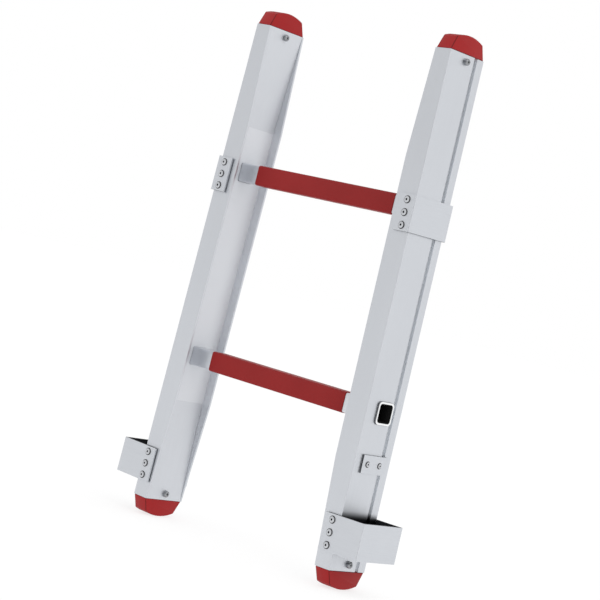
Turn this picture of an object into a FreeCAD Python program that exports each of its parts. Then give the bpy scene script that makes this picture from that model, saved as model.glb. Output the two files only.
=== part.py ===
import FreeCAD, Part
import os
import re
import Sketcher

# Short two-rung plug-in section of an aluminium ladder, in millimetres.
# +Z is up, +X to the ladder's right, -Y to its front. The origin is on the ground under the
# middle of the ladder. Both stiles lean inwards, so the ladder is wider at its foot.
#
# Pieces that belong to a stile are modelled in the stile's own frame: its origin is at the
# bottom end of the metal, on the outer face, halfway through the depth; Z runs up the stile.
# "Reach" is a distance inwards from the outer face.

SIZES = {
    "stile_length": 716,
    "stile_depth": 73.8,
    "bottom_width": 402,
    "lean": 1.155,
    "lip_reach": 34.9,
    "lip_wall": 2.8,
    "floor_reach": 20,
    "web_wall": 2,
    "corner_radius": 0.6,
    "taper_length": 150,
    "end_reach": 26.8,
    "ramp_sheet": 2,
    "ramp_gap": 0.15,
    "groove_start": 16.3,
    "groove_width": 6.6,
    "groove_depth": 4,
    "first_rung": 219,
    "rung_spacing": 280,
    "rung_side": 27.4,
    "rung_wall": 2,
    "rung_corner": 2.6,
    "rung_gap": 0.3,
    "flare_side": 32.4,
    "flare_rise": 2.9,
    "flare_corner": 6,
    "mouth_side": 26,
    "mouth_corner": 4,
    "flush_gap": 0.3,
    "pad_length": 269,
    "pad_wall": 1,
    "pad_gap": 0.1,
    "cap_height": 25.8,
    "cap_inset": 0.7,
    "cap_outer_inset": 0.5,
    "cap_base_reach": 26.2,
    "cap_tip_reach": 24.8,
    "cap_tip_depth": 51,
    "cap_crown_radius": 72,
    "cap_corner": 1.2,
    "plug_length": 26,
    "plug_gap": 0.3,
    "screw_height": 9.5,
    "screw_radius": 2.4,
    "screw_head_radius": 4.8,
    "screw_head_rise": 5,
    "screw_length": 12,
    "bracket_sheet": 3,
    "bracket_gap": 1,
    "bracket_height": 51,
    "bracket_bend": 1.5,
    "flange_reach": 25,
    "pocket_reach": 44.7,
    "pocket_height": 49,
    "strap_height": 489.3,
    "packer_width": 18,
    "rivet_reach": 11,
    "rivet_pitch": 17.5,
    "rivet_radius": 2.4,
    "rivet_head_radius": 5.5,
    "rivet_head_rise": 2.2,
    "rivet_bore_radius": 1.4,
    "rivet_tail_radius": 3.6,
    "rivet_tail_length": 3,
    "stop_length": 48,
    "stop_height": 25.5,
    "stop_sheet": 2.5,
    "stop_middle": 1.7,
    "stop_level": 148,
    "stop_rivet_middle": 0.8,
    "stop_rivet_pitch": 25,
    "stop_rivet_radius": 2,
    "stop_rivet_head_radius": 4.4,
    "stop_rivet_head_rise": 1.6,
    "hole_gap": 0.1,
}

# The lowest point of a leaning foot cap is the inner edge of its crown.
FOOT_LIFT = "(cap_height * cos(lean) + cap_tip_reach * sin(lean))"
HALF_DEPTH = "stile_depth / 2"
GROOVE_END = "(groove_start + groove_width)"
SIDES = (("left", -1), ("right", 1))
ENDS = (("upper", 1), ("lower", -1))
RUNGS = (("lower", "first_rung"), ("upper", "(first_rung + rung_spacing)"))

doc = FreeCAD.newDocument("LadderSection")
sheet = doc.addObject("Spreadsheet::Sheet", "Sizes")
for row, (alias, size) in enumerate(SIZES.items(), start=1):
    sheet.set(f"A{row}", alias)
    sheet.set(f"B{row}", str(size))
    sheet.setAlias(f"B{row}", alias)
doc.recompute()

nodes = {}


def cell(formula):
    """Turn a formula over the sheet's names into an expression of the document."""
    def reference(word):
        return f"Sizes.{word[0]}" if word[0] in SIZES else word[0]
    return re.sub(r"[A-Za-z_]\w*", reference, str(formula))


def value(formula):
    """Work out a formula with the sheet's present sizes."""
    result = sheet.evalExpression(cell(formula))
    return float(getattr(result, "Value", result))


def bind(item, prop, formula):
    item.setExpression(prop, cell(formula))


def keep(item, node):
    """Name a finished sub-part; the name is also its file's name."""
    item.Label = node
    nodes[node] = item
    return item


def stand_on_stile(item, side):
    """Place a piece made in the stile's frame on the left or right stile."""
    lean_axis = FreeCAD.Vector(0, -side, 0)
    item.Placement = FreeCAD.Placement(FreeCAD.Vector(), FreeCAD.Rotation(lean_axis, 1))
    bind(item, "Placement.Base.x", f"{side} * bottom_width / 2")
    bind(item, "Placement.Base.z", FOOT_LIFT)
    bind(item, "Placement.Rotation.Angle", "lean")
    return item


# ---------------------------------------------------------------- sketches and features

def new_sketch(body, name, plane, lift="0"):
    """Start a sketch on one of the body's origin planes, lifted along the plane's normal."""
    sketch = body.newObject("Sketcher::SketchObject", name)
    support = next(item for item in body.Origin.OriginFeatures if item.Role == plane)
    sketch.AttachmentSupport = [(support, "")]
    sketch.MapMode = "FlatFace"
    bind(sketch, "AttachmentOffset.Base.z", lift)
    return sketch


def hold_point(sketch, geometry, point, across, up):
    """Hold a point of the sketch at two formulas measured from the sketch's origin."""
    for kind, formula in (("DistanceX", across), ("DistanceY", up)):
        rule = Sketcher.Constraint(kind, -1, 1, geometry, point, value(formula))
        number = sketch.addConstraint(rule)
        bind(sketch, f"Constraints[{number}]", formula)


def draw_outline(sketch, corners):
    """Draw one closed outline of straight lines through corners given as pairs of formulas."""
    first = sketch.GeometryCount
    points = [FreeCAD.Vector(value(across), value(up), 0) for across, up in corners]
    for start, end in zip(points, points[1:] + points[:1]):
        sketch.addGeometry(Part.LineSegment(start, end), False)
    for index, (across, up) in enumerate(corners):
        following = first + (index + 1) % len(corners)
        sketch.addConstraint(Sketcher.Constraint("Coincident", first + index, 2, following, 1))
        hold_point(sketch, first + index, 1, across, up)


def draw_rectangle(sketch, middle, size):
    """Draw a rectangle from the formulas of its middle and its size."""
    (across, up), (width, height) = middle, size
    draw_outline(sketch, [
        (f"{across} - {width} / 2", f"{up} - {height} / 2"),
        (f"{across} + {width} / 2", f"{up} - {height} / 2"),
        (f"{across} + {width} / 2", f"{up} + {height} / 2"),
        (f"{across} - {width} / 2", f"{up} + {height} / 2"),
    ])


def draw_window(sketch, up, side, radius):
    """Draw a square window with rounded corners on the sketch's middle line."""
    straight = f"({side} / 2 - {radius})"
    turns = [(1, -1), (1, 1), (-1, 1), (-1, -1)]
    runs = []
    for (from_x, from_y), (to_x, to_y) in zip(turns[-1:] + turns[:-1], turns):
        leave = (f"{from_x} * {straight}" if from_y == to_y else f"{from_x} * {side} / 2",
                 f"{up} + {from_y} * ({side} / 2)" if from_y == to_y else f"{up} + {from_y} * {straight}")
        reach = (f"{to_x} * {straight}" if from_y == to_y else f"{to_x} * {side} / 2",
                 f"{up} + {to_y} * ({side} / 2)" if from_y == to_y else f"{up} + {to_y} * {straight}")
        runs.append((leave, reach))
    first = sketch.GeometryCount
    for (leave, reach), (following, _), (turn_x, turn_y) in zip(runs, runs[1:] + runs[:1], turns):
        start, end, next_start = (
            FreeCAD.Vector(value(x), value(y), 0) for x, y in (leave, reach, following))
        centre = FreeCAD.Vector(value(f"{turn_x} * {straight}"), value(f"{up} + {turn_y} * {straight}"), 0)
        bend = centre + (end + next_start - centre * 2).normalize() * value(radius)
        sketch.addGeometry(Part.LineSegment(start, end), False)
        sketch.addGeometry(Part.Arc(end, bend, next_start), False)
    for index, (leave, reach) in enumerate(runs):
        line = first + 2 * index
        hold_point(sketch, line, 1, *leave)
        hold_point(sketch, line, 2, *reach)
        following = first + 2 * ((index + 1) % len(runs))
        sketch.addConstraint(Sketcher.Constraint("Coincident", line, 2, line + 1, 1))
        sketch.addConstraint(Sketcher.Constraint("Coincident", line + 1, 2, following, 1))
        number = sketch.addConstraint(Sketcher.Constraint("Radius", line + 1, value(radius)))
        bind(sketch, f"Constraints[{number}]", radius)


def draw_circle(sketch, across, up, radius):
    centre = FreeCAD.Vector(value(across), value(up), 0)
    circle = Part.Circle(centre, FreeCAD.Vector(0, 0, 1), value(radius))
    geometry = sketch.addGeometry(circle, False)
    hold_point(sketch, geometry, 3, across, up)
    number = sketch.addConstraint(Sketcher.Constraint("Radius", geometry, value(radius)))
    bind(sketch, f"Constraints[{number}]", radius)


def pad(body, sketch, length, side_type="One side"):
    feature = body.newObject("PartDesign::Pad", sketch.Name + "_pad")
    feature.Profile = sketch
    feature.SideType = side_type
    bind(feature, "Length", length)
    doc.recompute()
    return feature


def cut_both_ways(body, sketch, length):
    """Cut half of the length to each side of the sketch, and make sure that metal went."""
    before = body.Shape.Volume
    feature = body.newObject("PartDesign::Pocket", sketch.Name + "_cut")
    feature.Profile = sketch
    feature.SideType = "Symmetric"
    bind(feature, "Length", length)
    doc.recompute()
    if not body.Shape.Volume < before:
        raise RuntimeError(f"{feature.Name} cuts nothing")
    return feature


def edges_where(shape, test):
    """List the names of the straight edges whose direction and middle pass the test."""
    names = []
    for number, edge in enumerate(shape.Edges, start=1):
        ends = [vertex.Point for vertex in edge.Vertexes]
        if len(ends) == 2 and test(ends[1] - ends[0], (ends[0] + ends[1]) / 2):
            names.append(f"Edge{number}")
    return names


def round_edges(body, radius, test):
    """Round the chosen edges of the body as it stands."""
    base = body.Tip
    fillet = body.newObject("PartDesign::Fillet", base.Name + "_round")
    fillet.Base = (base, edges_where(base.Shape, test))
    bind(fillet, "Radius", radius)
    doc.recompute()
    if "Invalid" in fillet.State:
        raise RuntimeError(f"{fillet.Name} fails")
    return fillet


def new_body(name):
    return doc.addObject("PartDesign::Body", name)


# ---------------------------------------------------------------- Part primitives

def block(name, middle, size):
    """Make a box from the formulas of its middle and its size."""
    box = doc.addObject("Part::Box", name)
    for prop, axis, centre, length in zip(("Length", "Width", "Height"), "xyz", middle, size):
        bind(box, prop, length)
        bind(box, f"Placement.Base.{axis}", f"{centre} - {length} / 2")
    return box


def cylinder(name, radius, bottom, height):
    """Make an upright cylinder on the Z axis from the formula of its bottom end."""
    rod = doc.addObject("Part::Cylinder", name)
    bind(rod, "Radius", radius)
    bind(rod, "Height", height)
    bind(rod, "Placement.Base.z", bottom)
    return rod


def join(name, pieces):
    joined = doc.addObject("Part::MultiFuse", name)
    joined.Shapes = pieces
    return joined


def cut(name, base, tool):
    result = doc.addObject("Part::Cut", name)
    result.Base = base
    result.Tool = tool
    return result


def bar(name, middle, size, radius):
    """Make a square bar along X whose four long edges are rounded."""
    core = block(name + "_core", middle, size)
    doc.recompute()
    rounded = doc.addObject("Part::Fillet", name)
    rounded.Base = core
    long_edges = edges_where(core.Shape, lambda run, at: abs(run.y) + abs(run.z) < 1e-6)
    rounded.Edges = [(int(edge[4:]), value(radius), value(radius)) for edge in long_edges]
    return rounded


def dome(name, radius, rise):
    """Make the domed head of a rivet or screw, flat side down on the XY plane."""
    ball_radius = f"(({radius}^2 + {rise}^2) / (2 * {rise}))"
    head = doc.addObject("Part::Sphere", name)
    bind(head, "Radius", ball_radius)
    bind(head, "Angle1", f"asin(({ball_radius} - {rise}) / {ball_radius})")
    bind(head, "Placement.Base.z", f"{rise} - {ball_radius}")
    return head


def turned(name, fastener, facing, at):
    """Copy a fastener made along Z to a place, with its head facing a direction."""
    copy = doc.addObject("App::Link", name)
    copy.LinkedObject = fastener
    turn = FreeCAD.Rotation(FreeCAD.Vector(0, 0, 1), FreeCAD.Vector(*facing))
    copy.Placement = FreeCAD.Placement(FreeCAD.Vector(), turn)
    for axis, formula in zip("xyz", at):
        bind(copy, f"Placement.Base.{axis}", formula)
    return copy


def group(node, side, pieces):
    """Keep equal fasteners of one stile together as one sub-part of separate solids."""
    compound = doc.addObject("Part::Compound", node)
    compound.Links = pieces
    return keep(stand_on_stile(compound, side), node)


def blind_rivet(name, grip, radius, head_radius, head_rise, tail_radius):
    """Make a hollow rivet whose head sits on Z = 0 and whose tail closes behind the grip."""
    stem = f"({grip} + rivet_tail_length)"
    pieces = [
        dome(name + "_head", head_radius, head_rise),
        cylinder(name + "_stem", radius, f"-{stem}", stem),
        cylinder(name + "_tail", tail_radius, f"-{stem}", "rivet_tail_length"),
    ]
    bore = cylinder(name + "_bore", "rivet_bore_radius", f"-{stem} / 2", f"{stem} / 2 + {head_rise}")
    return cut(name, join(name + "_solid", pieces), bore)


# ---------------------------------------------------------------- stiles

def rung_level(level):
    """Height along the stile where a level rung crosses the middle of its two walls."""
    return f"({level} + floor_reach / 2 * tan(lean))"


def bracket_levels():
    return [f"({middle} + {step} * rivet_pitch)"
            for middle in ("pocket_height", "strap_height") for step in (-1, 0, 1)]


def make_stile(side_name, side):
    """Extruded stile: a closed box outside, and a recess between two thin lips inside."""
    inward = -side
    body = new_body(f"Stile_{side_name}")
    inner_half = f"({HALF_DEPTH} - lip_wall)"

    section = new_sketch(body, f"StileSection_{side_name}", "XY_Plane")
    draw_outline(section, [
        ("0", f"-{HALF_DEPTH}"),
        (f"{inward} * lip_reach", f"-{HALF_DEPTH}"),
        (f"{inward} * lip_reach", f"-{inner_half}"),
        (f"{inward} * floor_reach", f"-{inner_half}"),
        (f"{inward} * floor_reach", inner_half),
        (f"{inward} * lip_reach", inner_half),
        (f"{inward} * lip_reach", HALF_DEPTH),
        ("0", HALF_DEPTH),
        ("0", GROOVE_END),
        (f"{inward} * groove_depth", GROOVE_END),
        (f"{inward} * groove_depth", "groove_start"),
        ("0", "groove_start"),
    ])
    pad(body, section, "stile_length")

    def outer_corner(run, at):
        return abs(run.x) + abs(run.y) < 1e-6 and abs(at.x) < 1e-6 and abs(at.y) > value(inner_half)
    round_edges(body, "corner_radius", outer_corner)

    chamber = new_sketch(body, f"Chamber_{side_name}", "XY_Plane")
    draw_outline(chamber, [
        (f"{inward} * web_wall", f"-{inner_half}"),
        (f"{inward} * (floor_reach - web_wall)", f"-{inner_half}"),
        (f"{inward} * (floor_reach - web_wall)", inner_half),
        (f"{inward} * web_wall", inner_half),
        (f"{inward} * web_wall", f"{GROOVE_END} + web_wall"),
        (f"{inward} * (groove_depth + web_wall)", f"{GROOVE_END} + web_wall"),
        (f"{inward} * (groove_depth + web_wall)", "groove_start - web_wall"),
        (f"{inward} * web_wall", "groove_start - web_wall"),
    ])
    cut_both_ways(body, chamber, "2 * stile_length")

    taper = new_sketch(body, f"LipTaper_{side_name}", "XZ_Plane")
    for end, start in (("0", "taper_length"), ("stile_length", "(stile_length - taper_length)")):
        draw_outline(taper, [
            (f"{inward} * lip_reach", start),
            (f"{inward} * lip_reach", end),
            (f"{inward} * end_reach", end),
        ])
    cut_both_ways(body, taper, "2 * stile_depth")

    windows = new_sketch(body, f"RungWindows_{side_name}", "YZ_Plane")
    opening = "(rung_side + 2 * rung_gap)"
    for _, level in RUNGS:
        draw_window(windows, rung_level(level), opening, "rung_corner")
    cut_both_ways(body, windows, "2 * lip_reach")

    rivet_holes = new_sketch(body, f"BracketRivetHoles_{side_name}", "XZ_Plane")
    for level in bracket_levels():
        draw_circle(rivet_holes, f"{inward} * rivet_reach", level, "rivet_radius + hole_gap")
    cut_both_ways(body, rivet_holes, "2 * stile_depth")

    stop_holes = new_sketch(body, f"StopRivetHoles_{side_name}", "YZ_Plane")
    for across in STOP_RIVETS:
        draw_circle(stop_holes, across, "stop_level", "stop_rivet_radius + hole_gap")
    cut_both_ways(body, stop_holes, "2 * (floor_reach - web_wall)")

    screw_holes = new_sketch(body, f"CapScrewHoles_{side_name}", "YZ_Plane")
    for level in ("screw_height", "(stile_length - screw_height)"):
        draw_circle(screw_holes, "0", level, "screw_radius + hole_gap")
    cut_both_ways(body, screw_holes, "2 * lip_reach")
    return keep(stand_on_stile(body, side), f"stile_{side_name}")


def make_ramp(side_name, side, end_name, end):
    """Sheet that closes the recess at a stile's end and rises to the ends of the lips."""
    inward = -side
    body = new_body(f"Ramp_{end_name}_{side_name}")
    tip = "stile_length" if end > 0 else "0"
    sheet_run = "(taper_length * (1 - ramp_sheet / (end_reach - floor_reach)))"
    profile = new_sketch(body, f"RampProfile_{end_name}_{side_name}", "XZ_Plane")
    draw_outline(profile, [
        (f"{inward} * floor_reach", f"{tip} - {end} * taper_length"),
        (f"{inward} * end_reach", tip),
        (f"{inward} * (end_reach - ramp_sheet)", tip),
        (f"{inward} * floor_reach", f"{tip} - {end} * {sheet_run}"),
    ])
    pad(body, profile, "stile_depth - 2 * lip_wall - 2 * ramp_gap", "Symmetric")
    hole = new_sketch(body, f"RampHole_{end_name}_{side_name}", "YZ_Plane")
    draw_circle(hole, "0", f"{tip} - {end} * screw_height", "screw_radius + hole_gap")
    cut_both_ways(body, hole, "2 * lip_reach")
    return keep(stand_on_stile(body, side), f"end_ramp_{end_name}_{side_name}")


# ---------------------------------------------------------------- rungs and grip pads

def rung_half_length(level, rise):
    """Half the length of a level rung that ends the rise outside both outer faces."""
    return f"(bottom_width / 2 - {level} * sin(lean) + {rise})"


def make_rung(name, level, flared):
    """Square tube through both stiles; its open ends are flared outside unless a strap covers them."""
    middle = ("0", "0", f"{FOOT_LIFT} + {level} * cos(lean)")
    rise = "flare_rise / 2" if flared else "-flush_gap"
    length = f"(2 * {rung_half_length(level, rise)})"
    pieces = [bar(f"RungTube_{name}", middle, (length, "rung_side", "rung_side"), "rung_corner")]
    bore_side = "(rung_side - 2 * rung_wall)"
    bore = bar(f"RungBore_{name}", middle, (f"{length} + 2 * rung_side", bore_side, bore_side),
               "rung_corner - rung_wall")
    for side_name, side in SIDES if flared else ():
        outside = (f"{side} * flare_rise / 2", "0", level)
        flare = bar(f"RungFlare_{name}_{side_name}", outside,
                    ("flare_rise", "flare_side", "flare_side"), "flare_corner")
        mouth = bar(f"RungMouth_{name}_{side_name}", outside,
                    ("1.2 * flare_rise", "mouth_side", "mouth_side"), "mouth_corner")
        pieces.append(stand_on_stile(cut(f"RungRim_{name}_{side_name}", flare, mouth), side))
    tube = join(f"RungSolid_{name}", pieces) if flared else pieces[0]
    return keep(cut(f"Rung_{name}", tube, bore), f"rung_{name}")


def make_pad(name, level):
    """Red sleeve pushed over the middle of a rung."""
    middle = ("0", "0", f"{FOOT_LIFT} + {level} * cos(lean)")
    outside = "(rung_side + 2 * pad_wall)"
    sleeve = bar(f"PadOutside_{name}", middle, ("pad_length", outside, outside),
                 "rung_corner + pad_wall")
    inside = "(rung_side + 2 * pad_gap)"
    core = bar(f"PadCore_{name}", middle, ("2 * pad_length", inside, inside), "rung_corner")
    return keep(cut(f"Pad_{name}", sleeve, core), f"rung_pad_{name}")


# ---------------------------------------------------------------- end caps

def make_cap(side_name, side, end_name, end):
    """Plastic end cap: tapered sides, an arched crown and a plug inside the stile's chamber."""
    label = f"{end_name}_{side_name}"
    inward = -side
    tip = "stile_length" if end > 0 else "0"
    frustum = doc.addObject("Part::Wedge", f"CapSides_{label}")
    limits = [("cap_outer_inset", "cap_outer_inset"), ("cap_base_reach", "cap_tip_reach")]
    for prop, (base, top) in zip(("min", "max"), limits if inward > 0 else reversed(limits)):
        bind(frustum, "X" + prop, f"{inward} * {base}")
        bind(frustum, "X2" + prop, f"{inward} * {top}")
    for prop, sign in (("min", -1), ("max", 1)):
        bind(frustum, "Z" + prop, f"{sign} * ({HALF_DEPTH} - cap_inset)")
        bind(frustum, "Z2" + prop, f"{sign} * cap_tip_depth / 2")
    frustum.Ymin = 0
    bind(frustum, "Ymax", "cap_height")
    frustum.Placement = FreeCAD.Placement(
        FreeCAD.Vector(), FreeCAD.Rotation(FreeCAD.Vector(1, 0, 0), 90 * end))
    bind(frustum, "Placement.Base.z", tip)
    doc.recompute()
    sides = doc.addObject("Part::Fillet", f"CapRounded_{label}")
    sides.Base = frustum
    corners = edges_where(frustum.Shape, lambda run, at: abs(run.z) > value("cap_height") / 2)
    sides.Edges = [(int(edge[4:]), value("cap_corner"), value("cap_corner")) for edge in corners]

    crown = doc.addObject("Part::Cylinder", f"CapCrown_{label}")
    bind(crown, "Radius", "cap_crown_radius")
    bind(crown, "Height", "4 * cap_base_reach")
    crown.Placement = FreeCAD.Placement(
        FreeCAD.Vector(), FreeCAD.Rotation(FreeCAD.Vector(0, 1, 0), 90))
    bind(crown, "Placement.Base.x", "-2 * cap_base_reach")
    bind(crown, "Placement.Base.z", f"{tip} + {end} * (cap_height - cap_crown_radius)")
    head = doc.addObject("Part::MultiCommon", f"CapHead_{label}")
    head.Shapes = [sides, crown]

    plug_from = "(groove_depth + web_wall + plug_gap)"
    plug_to = "(floor_reach - web_wall - plug_gap)"
    plug = block(f"CapPlug_{label}",
                 (f"{inward} * ({plug_from} + {plug_to}) / 2", "0", f"{tip} - {end} * plug_length / 2"),
                 (f"({plug_to} - {plug_from})", "(stile_depth - 2 * lip_wall - 2 * plug_gap)",
                  "plug_length"))
    pilot = doc.addObject("Part::Cylinder", f"CapPilot_{label}")
    bind(pilot, "Radius", "screw_radius")
    bind(pilot, "Height", "4 * lip_reach")
    pilot.Placement = FreeCAD.Placement(
        FreeCAD.Vector(), FreeCAD.Rotation(FreeCAD.Vector(0, 1, 0), 90))
    bind(pilot, "Placement.Base.x", "-2 * lip_reach")
    bind(pilot, "Placement.Base.z", f"{tip} - {end} * screw_height")
    body = cut(f"Cap_{label}", join(f"CapSolid_{label}", [head, plug]), pilot)
    return keep(stand_on_stile(body, side), f"end_cap_{label}")


# ---------------------------------------------------------------- brackets and plates

def make_bracket(side_name, side, kind, web_reach, level):
    """Bent sheet around the outside of a stile, with a flange riveted to its front and back."""
    inward = -side
    body = new_body(f"{kind}_{side_name}")
    outer_half = f"({HALF_DEPTH} + bracket_gap + bracket_sheet)"
    inner_half = f"({HALF_DEPTH} + bracket_gap)"
    section = new_sketch(body, f"{kind}Section_{side_name}", "XY_Plane",
                         f"{level} - bracket_height / 2")
    draw_outline(section, [
        (f"{side} * {web_reach}", f"-{outer_half}"),
        (f"{inward} * flange_reach", f"-{outer_half}"),
        (f"{inward} * flange_reach", f"-{inner_half}"),
        (f"{side} * ({web_reach} - bracket_sheet)", f"-{inner_half}"),
        (f"{side} * ({web_reach} - bracket_sheet)", inner_half),
        (f"{inward} * flange_reach", inner_half),
        (f"{inward} * flange_reach", outer_half),
        (f"{side} * {web_reach}", outer_half),
    ])
    pad(body, section, "bracket_height")

    def bend(run, at):
        return abs(run.x) + abs(run.y) < 1e-6 and abs(at.x - side * value(web_reach)) < 1e-6
    round_edges(body, "bracket_bend", bend)

    holes = new_sketch(body, f"{kind}RivetHoles_{side_name}", "XZ_Plane")
    for step in (-1, 0, 1):
        draw_circle(holes, f"{inward} * rivet_reach", f"{level} + {step} * rivet_pitch",
                    "rivet_radius + hole_gap")
    cut_both_ways(body, holes, "4 * stile_depth")
    return keep(stand_on_stile(body, side), f"{kind}_{side_name}")


def make_packers(side_name, side, kind, level):
    """Packing strips between a bracket's flanges and the stile, behind its rivets."""
    inward = -side
    strips = []
    for face_name, face in (("front", -1), ("back", 1)):
        strip = block(f"{kind}Packer_{face_name}_{side_name}",
                      (f"{inward} * rivet_reach", f"{face} * ({HALF_DEPTH} + bracket_gap / 2)", level),
                      ("packer_width", "bracket_gap", "(bracket_height - packer_width / 4)"))
        drills = []
        for step in (-1, 0, 1):
            drill = cylinder(f"{kind}PackerDrill_{face_name}_{side_name}_{step + 1}",
                             "rivet_radius + hole_gap", f"{level} + {step} * rivet_pitch", "stile_depth * 4")
            drill.Placement = FreeCAD.Placement(
                FreeCAD.Vector(), FreeCAD.Rotation(FreeCAD.Vector(1, 0, 0), 90))
            bind(drill, "Placement.Base.x", f"{inward} * rivet_reach")
            bind(drill, "Placement.Base.y", "stile_depth * 2")
            drills.append(drill)
        drilled = join(f"{kind}PackerDrills_{face_name}_{side_name}", drills)
        strips.append(cut(f"{kind}PackerStrip_{face_name}_{side_name}", strip, drilled))
    return group(f"{kind}_packers_{side_name}", side, strips)


def make_bracket_rivets(side_name, side, kind, level, rivet):
    """Three rivets through each flange of a bracket."""
    inward = -side
    copies = []
    for face_name, face in (("front", -1), ("back", 1)):
        seat = f"{face} * ({HALF_DEPTH} + bracket_gap + bracket_sheet)"
        for step in (-1, 0, 1):
            copies.append(turned(
                f"{kind}Rivet_{face_name}_{side_name}_{step + 1}", rivet, (0, face, 0),
                (f"{inward} * rivet_reach", seat, f"{level} + {step} * rivet_pitch")))
    return group(f"{kind}_rivets_{side_name}", side, copies)


STOP_RIVETS = [f"(stop_rivet_middle + {step} * stop_rivet_pitch / 2)" for step in (-1, 1)]


def make_stop(side_name, side, rivet):
    """Small stop plate across the groove below the lower rung, with its two rivets."""
    body = new_body(f"StopPlate_{side_name}")
    face = new_sketch(body, f"StopFace_{side_name}", "YZ_Plane")
    draw_rectangle(face, ("stop_middle", "stop_level"), ("stop_length", "stop_height"))
    for across in STOP_RIVETS:
        draw_circle(face, across, "stop_level", "stop_rivet_radius + hole_gap")
    plate = pad(body, face, "stop_sheet")
    plate.Reversed = side < 0
    keep(stand_on_stile(body, side), f"stop_plate_{side_name}")
    copies = [turned(f"StopRivet_{side_name}_{number}", rivet, (side, 0, 0),
                     (f"{side} * stop_sheet", across, "stop_level"))
              for number, across in enumerate(STOP_RIVETS)]
    return group(f"stop_plate_rivets_{side_name}", side, copies)


def make_cap_screws(side_name, side, end_name, end, screw):
    """Two screws that hold an end cap: one from the outer face, one through the end ramp."""
    inward = -side
    level = "(stile_length - screw_height)" if end > 0 else "screw_height"
    ramp_rise = "(end_reach - floor_reach) / taper_length"
    seat = f"(end_reach - (screw_height - screw_head_radius) * {ramp_rise})"
    outer = turned(f"ScrewOuter_{end_name}_{side_name}", screw, (side, 0, 0), ("0", "0", level))
    inner = turned(f"ScrewInner_{end_name}_{side_name}", screw, (inward, 0, 0),
                   (f"{inward} * {seat}", "0", level))
    return group(f"cap_screws_{end_name}_{side_name}", side, [outer, inner])


# ---------------------------------------------------------------- assembly

bracket_rivet = blind_rivet("BracketRivet", "(bracket_sheet + bracket_gap + lip_wall)", "rivet_radius",
                            "rivet_head_radius", "rivet_head_rise", "rivet_tail_radius")
stop_rivet = blind_rivet("StopRivet", "(stop_sheet + web_wall)", "stop_rivet_radius",
                         "stop_rivet_head_radius", "stop_rivet_head_rise", "stop_rivet_radius")
cap_screw = join("CapScrew", [
    cylinder("CapScrewHead", "screw_head_radius", "0", "screw_head_rise"),
    cylinder("CapScrewStem", "screw_radius", "-screw_length", "screw_length"),
])

for side_name, side in SIDES:
    make_stile(side_name, side)
    for end_name, end in ENDS:
        make_ramp(side_name, side, end_name, end)
        make_cap(side_name, side, end_name, end)
        make_cap_screws(side_name, side, end_name, end, cap_screw)
    for kind, web_reach, level in (("guide_strap", "bracket_sheet", "strap_height"),
                                   ("pocket_bracket", "pocket_reach", "pocket_height")):
        make_bracket(side_name, side, kind, web_reach, level)
        make_packers(side_name, side, kind, level)
        make_bracket_rivets(side_name, side, kind, level, bracket_rivet)
    make_stop(side_name, side, stop_rivet)

for name, level in RUNGS:
    make_rung(name, level, flared=name == "lower")
    make_pad(name, level)

doc.recompute()
for item in doc.Objects:
    if {"Invalid", "Error"} & set(item.State):
        raise RuntimeError(f"{item.Name} failed: {item.State}")
os.makedirs("parts", exist_ok=True)
for node, item in nodes.items():
    shape = item.Shape
    if shape.isNull() or not shape.isValid():
        raise RuntimeError(f"{node} has no valid shape")
    shape.exportStep(f"parts/{node}.step")
    print(f"{node}: {len(shape.Solids)} solids, {shape.Volume:.0f} mm3")
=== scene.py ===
# %% [markdown]
# # A short plug-in ladder section
# Two leaning aluminium stiles carry two square rungs. Red grips cover the rungs and red caps
# close the stiles' ends. A strap and a pocket on each stile guide the neighbouring section.
# The CAD model gives every size and place. This lesson dresses it: it rebuilds the small
# parts with their real detail and gives each surface its finish.

# %% Load the CAD model
import math

import bmesh
import bpy
from mathutils import Matrix, Vector


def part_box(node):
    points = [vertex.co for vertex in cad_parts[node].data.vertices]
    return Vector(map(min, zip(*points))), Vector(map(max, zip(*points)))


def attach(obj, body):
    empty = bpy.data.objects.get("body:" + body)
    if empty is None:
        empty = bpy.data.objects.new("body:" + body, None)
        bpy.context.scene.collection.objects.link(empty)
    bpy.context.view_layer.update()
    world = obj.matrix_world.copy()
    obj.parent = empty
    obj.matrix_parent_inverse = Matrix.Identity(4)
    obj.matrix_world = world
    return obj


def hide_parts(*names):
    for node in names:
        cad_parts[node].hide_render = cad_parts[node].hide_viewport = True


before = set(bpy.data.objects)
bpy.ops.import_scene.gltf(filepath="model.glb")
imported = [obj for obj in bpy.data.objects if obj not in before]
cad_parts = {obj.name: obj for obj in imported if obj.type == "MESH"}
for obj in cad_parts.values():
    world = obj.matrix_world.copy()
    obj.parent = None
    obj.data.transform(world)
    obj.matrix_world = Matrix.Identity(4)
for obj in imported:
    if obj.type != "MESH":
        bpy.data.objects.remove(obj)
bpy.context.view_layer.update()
print("CAD nodes:", len(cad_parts))

# %% [markdown]
# ## The drawing
# A maker works from one drawing. These are the sizes, in metres, that the rebuilt parts share
# with the CAD model. Parts on a stile are made upright at the origin, in the stile's own
# frame: Z runs up the stile from the end of the metal, and `reach` is measured inwards from
# its outer face. One matrix per side then leans each part into place.

# %% Shared sizes and the two stile frames
MM = 0.001
LEAN = math.radians(1.155)
HALF_WIDTH = 201 * MM
HALF_DEPTH = 36.9 * MM
STILE_LENGTH = 716 * MM
CAP_HEIGHT = 25.8 * MM
CAP_TIP_REACH = 24.8 * MM
FOOT_LIFT = CAP_HEIGHT * math.cos(LEAN) + CAP_TIP_REACH * math.sin(LEAN)
SIDES = {"left": -1, "right": 1}


def stile_frame(side):
    """Matrix from a stile's own frame to the ladder's."""
    foot = Matrix.Translation((side * HALF_WIDTH, 0, FOOT_LIFT))
    return foot @ Matrix.Rotation(-side * LEAN, 4, "Y")


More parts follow.
